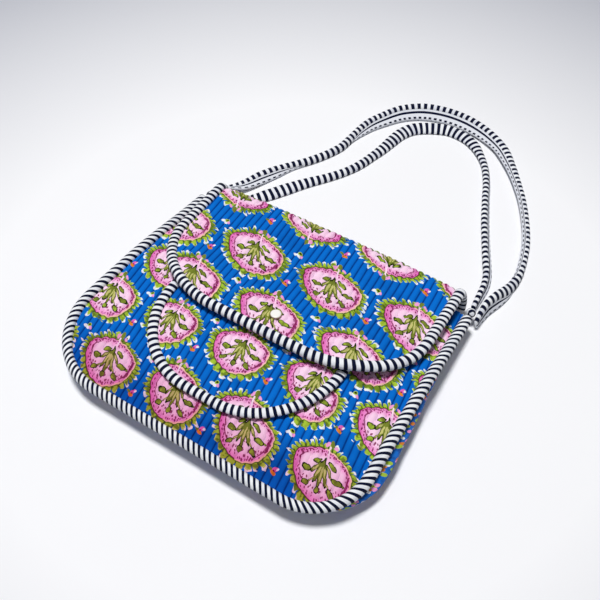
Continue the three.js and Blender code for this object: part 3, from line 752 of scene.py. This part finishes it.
# Shader nodes written as sums
class Net:
    """The nodes of one material."""

    def __init__(self, name):
        self.material = bpy.data.materials.new(name)
        self.material.use_nodes = True
        self.tree = self.material.node_tree
        self.shader = self.tree.nodes["Principled BSDF"]

    def node(self, kind, **settings):
        made = self.tree.nodes.new(kind)
        for key, value in settings.items():
            setattr(made, key, value)
        return made

    def put(self, value, socket):
        value = value.socket if isinstance(value, Num) else value
        if isinstance(value, bpy.types.NodeSocket):
            self.tree.links.new(value, socket)
        else:
            socket.default_value = value

    def fill(self, made, values):
        """Puts values into a node's inputs, by their names."""
        for key, value in values.items():
            self.put(value, made.inputs[key])

    def math(self, operation, *values):
        made = self.node("ShaderNodeMath", operation=operation)
        for value, socket in zip(values, made.inputs):
            self.put(value, socket)
        return Num(self, made.outputs[0])

    def parts(self, socket, kind="XYZ"):
        """The numbers that a vector, or with kind Color a colour, is made of."""
        made = self.node("ShaderNodeSeparate" + kind)
        self.put(socket, made.inputs[0])
        return [Num(self, part) for part in made.outputs]

    def map(self, layer):
        """The two values of a UV map."""
        return self.parts(self.node("ShaderNodeUVMap", uv_map=layer).outputs[0])[:2]

    def place(self):
        """The point itself, in metres."""
        return self.node("ShaderNodeTexCoord").outputs["Object"]

    def vector(self, x, y):
        made = self.node("ShaderNodeCombineXYZ")
        for value, socket in zip((x, y), made.inputs):
            self.put(value, socket)
        return made.outputs[0]

    def noise(self, vector, scale, detail):
        """Three smooth uneven values from 0 to 1."""
        made = self.node("ShaderNodeTexNoise")
        self.fill(made, dict(Vector=vector, Scale=scale, Detail=detail))
        return self.parts(made.outputs["Color"], "Color")

    def chance(self, x, y):
        """Two values from 0 to 1 that are the same all over a cell."""
        made = self.node("ShaderNodeTexWhiteNoise", noise_dimensions="2D")
        self.put(self.vector(x, y), made.inputs["Vector"])
        return self.parts(made.outputs["Color"], "Color")[:2]

    def paint(self, under, colour, share, blend="MIX"):
        made = self.node("ShaderNodeMix", data_type="RGBA", clamp_factor=True, blend_type=blend)
        self.put(share, made.inputs[0])
        for value, socket in ((under, made.inputs[6]), (colour, made.inputs[7])):
            self.put((*value, 1) if isinstance(value, tuple) else value, socket)
        return made.outputs[2]

    def spots(self, vector, scale):
        """Distance from the nearest of many unevenly placed spots."""
        made = self.node("ShaderNodeTexVoronoi", voronoi_dimensions="2D")
        self.fill(made, dict(Vector=vector, Scale=scale))
        return Num(self, made.outputs["Distance"])

    def bump(self, height, distance, strength):
        made = self.node("ShaderNodeBump")
        self.fill(made, dict(Strength=strength, Distance=distance * MM, Height=height))
        self.tree.links.new(made.outputs[0], self.shader.inputs["Normal"])

    def finish(self, colour, roughness, sheen=0.0, shine=0.25):
        self.fill(self.shader, {
            "Base Color": colour,
            "Roughness": roughness,
            "Sheen Weight": sheen,
            "Sheen Roughness": 0.5,
            "Specular IOR Level": shine,
        })
        return self.material


def pair(operation):
    """A step that takes a number and another."""
    return lambda self, other: self.net.math(operation, self, other)


class Num:
    """A number that a node gives."""

    def __init__(self, net, socket):
        self.net, self.socket = net, socket

    __add__ = pair("ADD")
    __sub__ = pair("SUBTRACT")
    __mul__ = pair("MULTIPLY")
    __truediv__ = pair("DIVIDE")
    __lt__ = pair("LESS_THAN")
    __gt__ = pair("GREATER_THAN")
    least = pair("MINIMUM")
    most = pair("MAXIMUM")

    def __rsub__(self, other):
        return self.net.math("SUBTRACT", other, self)

    def times_plus(self, factor, term):
        return self.net.math("MULTIPLY_ADD", self, factor, term)

    def one(self, operation):
        return self.net.math(operation, self)

    def soft(self, low, high):
        """0 below low and 1 above high, with a smooth way between."""
        made = self.net.node("ShaderNodeMapRange", interpolation_type="SMOOTHSTEP")
        for value, socket in zip((self, low, high, 0.0, 1.0), made.inputs):
            self.net.put(value, socket)
        return Num(self.net, made.outputs[0])


def rgb(red, green, blue):
    """Screen colour, 0 to 255, as the light that it stands for."""
    shares = (red / 255, green / 255, blue / 255)
    return tuple(c / 12.92 if c <= 0.04045 else ((c + 0.055) / 1.055) ** 2.4 for c in shares)


BLUE = rgb(6, 109, 207)
BLUE_DEEP = rgb(2, 74, 156)
# Multiplied in as painted shade along the bottom of the front
LOW_FRONT_PAINTED_SHADE = (0.8, 0.52, 0.66)
# Multiplied in by the seams: the stitching's own darker line and painted shade in the grooves
SEAM_STITCH_AND_PAINTED_SHADE = (0.22, 0.3, 0.42)
WHITE = rgb(240, 243, 248)
WHITE_SHADE = rgb(212, 216, 228)
NAVY = rgb(2, 11, 44)
LEAF = rgb(166, 196, 60)
LEAF_PALE = rgb(212, 224, 128)
LEAF_DARK = rgb(22, 54, 14)
PINK = rgb(243, 160, 216)
PINK_PALE = rgb(251, 218, 241)
PINK_DEEP = rgb(228, 102, 186)
CREAM = rgb(246, 196, 178)
MAGENTA = rgb(132, 18, 82)
OLIVE = rgb(120, 132, 48)
OLIVE_DARK = rgb(38, 48, 14)
STRAW = rgb(200, 196, 122)
ORANGE = rgb(226, 132, 44)
STUD_WHITE = rgb(244, 243, 240)
STUD_RIM_PAINTED_SHADE = rgb(150, 110, 84)
FLOOR_WHITE = rgb(246, 247, 250)
FLOOR_GREY = rgb(243, 244, 248)
# Painted shade on the floor far from the bag
FLOOR_PAINTED_SHADE = rgb(172, 175, 186)

# The rosette, drawn in its own units: 60 to a column and 46.5 to a row of the repeat. near weighs the two
# ways when the nearest one is found. Leaves are so many round the edge, and cleft is the notch between two.
UNIT_ACROSS = 60
UNIT_UP = 46.5
ROSETTE = Sizes(wide=21.6, waist=2.4, top=9.2, gable=3, low=23.6, slant=0.14, near=(5.4, 3.84))
LEAVES = Sizes(count=34, least=3.6, uneven=3, cleft=0.6, white=1.7, plain_share=0.55)
DOTS_APART = 2.7
NECK = Sizes(x=1.6, half=0.6, low=9.5, high=17)
THREAD = 0.5

# Ovals: the middle across and up, the turn in degrees, half the length and half the width
SPRIG_LEAVES = (
    (6.6, 5.0, -30, 4.0, 1.7),
    (11.6, -2.7, -3, 4.4, 2.1),
    (16.3, -3.0, 0, 1.1, 0.8),
    (8.9, -11.6, -40, 3.4, 2.0),
    (-0.6, -13.2, 80, 2.5, 2.0),
    (-9.8, -11.4, 32, 3.0, 2.0),
    (-11.2, -2.5, 2, 3.6, 2.3),
    (-5.0, 5.0, 32, 3.6, 1.5),
)
SPRIG_STEMS = (
    (-0.2, -2.0, 87, 9.8, 1.5),
    (-2.6, -1.8, 76, 7.4, 1.5),
    (2.4, -1.8, -72, 7.0, 1.4),
    (4.6, 1.4, -50, 4.6, 1.1),
    (-4.8, 0.8, 56, 4.8, 1.1),
    (5.6, -7.4, -50, 3.2, 0.6),
    (-6.0, -7.6, 48, 3.2, 0.6),
    (7.2, -1.8, -14, 1.8, 0.5),
)
BUD_ROUND = (
    ((-2.1, -0.8, 20, 1.9, 1.2), WHITE),
    ((0.2, -1.9, -30, 1.8, 1.0), WHITE),
    ((2.0, -0.9, -50, 1.8, 1.1), PINK),
    ((0.5, 0.7, 0, 1.8, 1.5), LEAF),
    ((0.6, 0.8, 0, 1.0, 0.8), OLIVE_DARK),
)
BUD_TIPPED = (
    ((-2.3, 0.3, -20, 1.9, 1.0), OLIVE),
    ((1.0, 1.4, 40, 2.4, 1.5), PINK_DEEP),
    ((2.5, 2.0, 50, 1.1, 0.8), WHITE),
    ((0.3, -1.4, -15, 2.2, 1.3), ORANGE),
    ((0.3, 0.1, 0, 0.8, 0.6), MAGENTA),
)
NECK_BUD = (
    ((-0.6, 17.6, 60, 2.1, 1.3), PINK),
    ((5.8, 17.2, -40, 1.8, 1.1), PINK),
    ((2.6, 19.4, 80, 2.4, 1.6), OLIVE),
)


def length(x, y):
    return x.times_plus(x, y * y).one("SQRT")


def oval(x, y, row):
    """Squared distance from an oval's middle, 1 on its edge."""
    cx, cy, turn, long, wide = row
    c, s = math.cos(math.radians(turn)), math.sin(math.radians(turn))
    a = x.times_plus(c / long, y.times_plus(s / long, -(cx * c + cy * s) / long))
    b = x.times_plus(-s / wide, y.times_plus(c / wide, (cx * s - cy * c) / wide))
    return a.times_plus(a, b * b)


def nearest(value, period, start):
    """How far a value is from the nearest of the places that repeat with a period."""
    turns = value.times_plus(1 / period, -start / period + 0.5).one("FLOOR")
    return turns.times_plus(-period, value - start)


def half_drop(u, v, start):
    """The place within a repeat whose every other row is set over by half."""
    row = (v - (start - 0.5)).one("FLOOR")
    odd = (row * 0.5).one("FRACT")
    return nearest(u - odd, 1, 0), v - start - row


def ovals(net, colour, x, y, petals):
    for row, shade in petals:
        colour = net.paint(colour, shade, oval(x, y, row) < 1)
    return colour


def nearest_oval(x, y, rows):
    best = oval(x, y, rows[0])
    for row in rows[1:]:
        best = best.least(oval(x, y, row))
    return best


def loose_buds(net, colour, u, v, fine):
    """Two kinds of bud between the rosettes."""
    for start, over, petals in ((0.67, 0.0, BUD_TIPPED), (0.3, 0.5, BUD_ROUND)):
        p, q = half_drop(u - over, v, start)
        colour = ovals(net, colour, p.times_plus(UNIT_ACROSS, fine[0]), q * UNIT_UP, petals)
    return colour


def rosette_place(u, v, fine):
    """The place in the nearest rosette of the two sets of rows, in the rosette's units."""
    near_across, near_up = ROSETTE.near
    pa, qa = nearest(u, 1, 0), nearest(v, 2, 0)
    pb, qb = nearest(u, 1, 0.5), nearest(v, 2, 1)
    far_a = (pa * pa).times_plus(near_across, qa * qa * near_up)
    far_b = (pb * pb).times_plus(near_across, qb * qb * near_up)
    pick = far_a < far_b
    p = (pa - pb).times_plus(pick, pb)
    q = (qa - qb).times_plus(pick, qb)
    turned = (v - q > 1.5).times_plus(-2, 1)
    x = (p * turned).times_plus(UNIT_ACROSS, fine[0].times_plus(2.4, -1.2))
    y = (q * turned).times_plus(UNIT_UP, fine[1].times_plus(2.4, -1.2))
    return y.times_plus(ROSETTE.slant, x), y


def rosette_edge(net, x, y):
    """Distance outside the rosette's edge, which has a low gable above its waist, and the way round it."""
    gable = x.one("ABSOLUTE").times_plus(-1 / ROSETTE.wide, 1)
    above = y - ROSETTE.waist
    top = gable.times_plus(ROSETTE.gable, ROSETTE.top)
    tall = (ROSETTE.low - top).times_plus(above < 0.0, top)
    share = length(x / ROSETTE.wide, above / tall).most(0.05)
    reach = length(x, above)
    return reach - reach / share, net.math("ARCTAN2", above * 1.4, x) * (1 / (2 * math.pi))


def leafy_border(net, colour, u, v, m, turn, fine):
    """Leaves of uneven length round the rosette's edge, some with a white tip."""
    lobe = turn.times_plus(LEAVES.count, fine[2])
    luck, luck_too = net.chance(lobe.one("FLOOR"), (u + v * 3).one("FLOOR"))
    cleft = lobe.one("FRACT").times_plus(2, -1).one("ABSOLUTE")
    tip = (cleft * cleft).times_plus(-LEAVES.cleft, 1) * luck.times_plus(LEAVES.uneven, LEAVES.least)
    white_tip = (m < tip + LEAVES.white) * (m > 1.0) * (cleft < 0.7) * (luck_too > LEAVES.plain_share)
    colour = net.paint(colour, WHITE, white_tip)
    leafy = m < tip
    colour = net.paint(colour, LEAF, leafy)
    colour = net.paint(colour, LEAF_PALE, leafy * (m - tip).soft(-1.3, -0.4) * fine[0].soft(0.4, 0.55))
    shade = cleft.soft(0.55, 0.85).most(m.soft(1.2, 0.2)).most(fine[1].soft(0.5, 0.58) * 0.7)
    return net.paint(colour, LEAF_DARK, leafy * shade * 0.85)


def rosette_body(net, colour, x, m, spread):
    """Pink body, deeper by its left edge, in a dark line that is cream on the right."""
    deep = x.soft(-7.0, -21.0) * m.soft(-6.0, -1.5) * 0.8
    body = net.paint(PINK, PINK_PALE, m.soft(-2.0, -8.0).times_plus(0.9, spread[1].times_plus(0.6, -0.3)))
    body = net.paint(body, PINK_DEEP, deep.most(m.soft(-3.0, -0.6) * 0.3))
    colour = net.paint(colour, MAGENTA, m < 0.1)
    colour = net.paint(colour, CREAM, (m < 0.1) * (x > -2.0))
    return net.paint(colour, body, m < x.soft(-4.0, 4.0).times_plus(-0.5, -0.4))


def line_inside(m, inside, half):
    return (m + inside).one("ABSOLUTE") < half


def rosette_marks(net, colour, x, y, m, turn, fine):
    """Dark line on the right, a finer one further in on the left, a broken one under the gable, and dots."""
    right = line_inside(m, 2.6, y.soft(-20.0, -2.0) * 0.9) * (x > 2.0) * (y < 8.0)
    left = line_inside(m, 4.4, 0.42) * (x < -6.0) * (y > -11.0) * (y < 7.5)
    broken = line_inside(m, 1.5, 0.45) * ((turn * 56).one("FRACT") < 0.6) * (y > 4.0)
    colour = net.paint(colour, MAGENTA, right.most(left).most(broken) * fine[2].soft(0.3, 0.42) * 0.9)
    dot = net.spots(net.vector(x * 1.3, y * 0.8), 1 / DOTS_APART) < fine[1].times_plus(0.44, 0.04)
    dotted = (m > -4.5).most(y < -7.0) * (m < -0.9)
    return net.paint(colour, MAGENTA, dot * dotted * 0.9)


def neck_and_bud(net, colour, x, y):
    neck = ((x - NECK.x).one("ABSOLUTE") < NECK.half) * (y > NECK.low) * (y < NECK.high)
    return ovals(net, net.paint(colour, PINK_PALE, neck), x, y, NECK_BUD)


def sprig(net, colour, x, y, fine):
    stems = nearest_oval(x, y, SPRIG_STEMS)
    colour = net.paint(colour, OLIVE_DARK, stems < 1.3)
    colour = net.paint(colour, OLIVE, stems < 0.85)
    colour = net.paint(colour, STRAW, stems < fine[2].times_plus(1.0, -0.25))
    leaves = nearest_oval(x, y, SPRIG_LEAVES)
    leaf = net.paint(OLIVE, LEAF, fine[0].soft(0.46, 0.6) * 0.7)
    colour = net.paint(colour, OLIVE_DARK, leaves < 1)
    return net.paint(colour, leaf, leaves < fine[1].times_plus(0.7, 0.2))


def printed_cloth():
    """Blue cotton with a block-printed repeat of leafy pink rosettes, stitched in channels. By the seams it is
    darker from the stitching's own line and from painted shade in the grooves; along the bottom of the front
    it is darker from painted shade."""
    net = Net("printed_quilt")
    u, v = net.map("Print")
    a, b = net.map("Cloth")
    spread = net.noise(net.vector(u, v), 1.6, 3)
    fine = net.noise(net.vector(u, v), 11, 2)
    seam = nearest(a, 1, 0).one("ABSOLUTE") * CHANNEL
    colour = net.paint(BLUE, BLUE_DEEP, spread[0].soft(0.42, 0.75) * 0.55)
    # Stitch line and painted shade in the seam grooves, on the blue ground
    colour = net.paint(colour, SEAM_STITCH_AND_PAINTED_SHADE, seam.soft(0.95, 0.1) * 0.95, "MULTIPLY")
    colour = loose_buds(net, colour, u, v, fine)
    x, y = rosette_place(u, v, fine)
    m, turn = rosette_edge(net, x, y)
    colour = leafy_border(net, colour, u, v, m, turn, fine)
    colour = rosette_body(net, colour, x, m, spread)
    colour = rosette_marks(net, colour, x, y, m, turn, fine)
    colour = neck_and_bud(net, colour, x, y)
    colour = sprig(net, colour, x, y, fine)
    # A little more stitch line and painted groove shade by the seams, broken up, over the print
    colour = net.paint(colour, SEAM_STITCH_AND_PAINTED_SHADE, seam.soft(0.5, 0.1) * fine[2].soft(0.4, 0.6) * 0.4, "MULTIPLY")
    # Painted shade along the bottom of the front, deepening towards its bottom edge
    colour = net.paint(colour, LOW_FRONT_PAINTED_SHADE, b.soft(-8.5, -17.0) * 0.95, "MULTIPLY")
    turns = 2 * math.pi * CHANNEL / THREAD
    weave = (a * turns).one("SINE") * (b * turns).one("SINE")
    grain = net.noise(net.vector(a, b), 3.2, 3)
    net.bump(weave.times_plus(0.25, grain[0]), 0.16, 0.6)
    return net.finish(colour, 0.9, shine=0.06)


def bars_across(along, uneven, share):
    """1 on the printed bars, which take up a share of the way from bar to bar."""
    bar = uneven.times_plus(0.14, along).one("FRACT")
    return bar.soft(0.0, 0.05) * bar.soft(share + 0.03, share - 0.03)


def cotton(net, colour, weave, grain):
    net.bump(weave.times_plus(0.2, grain[0]), 0.16, 0.6)
    return net.finish(colour, 0.85, 0.05, 0.12)


def striped_cotton():
    """White cotton with navy bars across the roll."""
    net = Net("striped_binding")
    b, a = net.map("Bars")
    uneven = net.noise(net.vector(b, a * 4), 0.9, 2)
    cloth = net.paint(WHITE, WHITE_SHADE, uneven[1].soft(0.4, 0.75) * 0.7)
    colour = net.paint(cloth, NAVY, bars_across(b, uneven[0], 0.5))
    weave = (b * 60).one("SINE") * (a * 300).one("SINE")
    return cotton(net, colour, weave, net.noise(net.vector(b, a * 5), 5, 3))


def striped_strap():
    """Barred roll, and lengthwise lines on the web beside it, the outer one broken."""
    net = Net("striped_strap")
    b, a = net.map("Strap")
    uneven = net.noise(net.vector(b, a), 0.9, 2)
    dark = bars_across(b, uneven[0], 0.54)
    share = (a * 0.5).one("FRACT") * 2
    line = (share - 0.3).one("ABSOLUTE") < 0.11
    ticks = (share > 0.72) * (share < 0.9) * dark
    web = a > 1.5
    marks = (line.most(ticks) - dark).times_plus(web, dark)
    cloth = net.paint(WHITE, WHITE_SHADE, uneven[1].soft(0.4, 0.75).most(web * 0.6))
    colour = net.paint(cloth, NAVY, marks)
    weave = (b * 65).one("SINE") * (a * 60).one("SINE")
    return cotton(net, colour, weave, net.noise(net.vector(b, a), 5, 3))


def gusset_cloth():
    """The same blue cotton with small flowers."""
    net = Net("flowered_gusset")
    a, b = net.map("Cloth")
    uneven = net.noise(net.vector(a, b), 2.2, 2)
    colour = net.paint(BLUE, BLUE_DEEP, uneven[0].soft(0.4, 0.7))
    flowers = ((0.0, ORANGE, 0.2), (0.37, WHITE, 0.16), (0.71, LEAF, 0.22), (0.19, PINK, 0.18))
    for shift, shade, size in flowers:
        near = net.spots(net.vector(a + shift * 7, b * 0.8 + shift), 1.5) + uneven[1].times_plus(0.3, -0.15)
        colour = net.paint(colour, shade, near < size)
    net.bump(net.noise(net.vector(a, b), 14, 3)[0], 0.2, 0.5)
    return net.finish(colour, 0.82, 0.12)


def stud_plastic():
    """White moulded plastic, with brownish painted shade round its rim and down in its groove."""
    net = Net("stud_plastic")
    place = net.place()
    x, y = net.parts(place)[:2]
    ring = length(x - STUD.x * MM, y - STUD.y * MM) / (STUD_CAP.radius * MM)
    # Brownish painted shade round the rim and in its groove
    colour = net.paint(STUD_WHITE, STUD_RIM_PAINTED_SHADE, (ring > 0.9) * 0.8)
    net.bump(net.noise(place, 900, 2)[0], 0.02, 0.4)
    return net.finish(colour, 0.34)


# Floor, light and camera
def floor():
    net = Net("studio_floor")
    place = net.place()
    x, y = net.parts(place)[:2]
    # Painted pool of light round the bag, falling off to painted shade further off
    painted_falloff = (length(x, y - FLOOR.y) - FLOOR.near) / (FLOOR.far - FLOOR.near)
    colour = net.paint(FLOOR_WHITE, FLOOR_GREY, net.noise(place, 3, 2)[0])
    colour = net.paint(colour, FLOOR_PAINTED_SHADE, painted_falloff)
    mesh = bpy.data.meshes.new("floor")
    half = FLOOR.half
    mesh.from_pydata([(-half, -half, 0), (half, -half, 0), (half, half, 0), (-half, half, 0)], [],
                     [(0, 1, 2, 3)])
    mesh.materials.append(net.finish(colour, 0.7))
    piece = bpy.data.objects.new("floor", mesh)
    bpy.context.scene.collection.objects.link(piece)


def area_light(name, size):
    light = bpy.data.lights.new(name, "AREA")
    light.shape = "DISK"
    light.size = size.wide
    light.energy = size.power
    light.color = size.colour
    lamp = bpy.data.objects.new(name, light)
    lamp.location = size.place
    lamp.rotation_euler = (Vector(LIGHT_AIM) - Vector(size.place)).to_track_quat("-Z", "Y").to_euler()
    bpy.context.scene.collection.objects.link(lamp)


def studio():
    scene = bpy.context.scene
    scene.view_settings.view_transform = "Standard"
    world = bpy.data.worlds.new("studio")
    world.use_nodes = True
    background = world.node_tree.nodes["Background"]
    background.inputs["Color"].default_value = SKY.colour
    background.inputs["Strength"].default_value = SKY.strength
    scene.world = world
    area_light("key", KEY_LIGHT)
    area_light("fill", FILL_LIGHT)
    camera = bpy.data.objects.new("camera", bpy.data.cameras.new("camera"))
    camera.data.lens = CAMERA_LENS
    camera.data.sensor_width = CAMERA_SENSOR
    camera.data.clip_start = 0.01
    camera.location = Vector(CAMERA_PLACE) * MM
    camera.rotation_euler = (math.radians(90 - CAMERA_ELEVATION), 0, math.radians(CAMERA_AZIMUTH))
    scene.collection.objects.link(camera)
    scene.camera = camera


def build():
    cloth = printed_cloth()
    stripe = striped_cotton()
    band = striped_strap()
    stud = stud_plastic()
    strap("strap_outer", STRAP_OUTER, 1, band)
    strap("strap_inner", STRAP_INNER, 2, band)
    back_and_flap(cloth)
    front_panel(cloth)
    front_pocket(cloth)
    gusset(gusset_cloth())
    front_binding(stripe)
    back_binding(stripe)
    pocket_binding(stripe)
    flap_binding(stripe)
    gusset_ends(stripe)
    cap_height = FOLD_TOP + flap_lift(np.array(STUD.x), np.array(STUD.y)) + CLOTH / 2 + STUD.gap
    press_stud("press_stud_cap", STUD_CAP, float(cap_height), stud)
    socket_height = front_height(STUD.y) + POCKET_FLOOR + CLOTH / 2 + STUD.gap
    press_stud("press_stud_socket", STUD_SOCKET, float(socket_height), stud)


studio()
floor()
build()
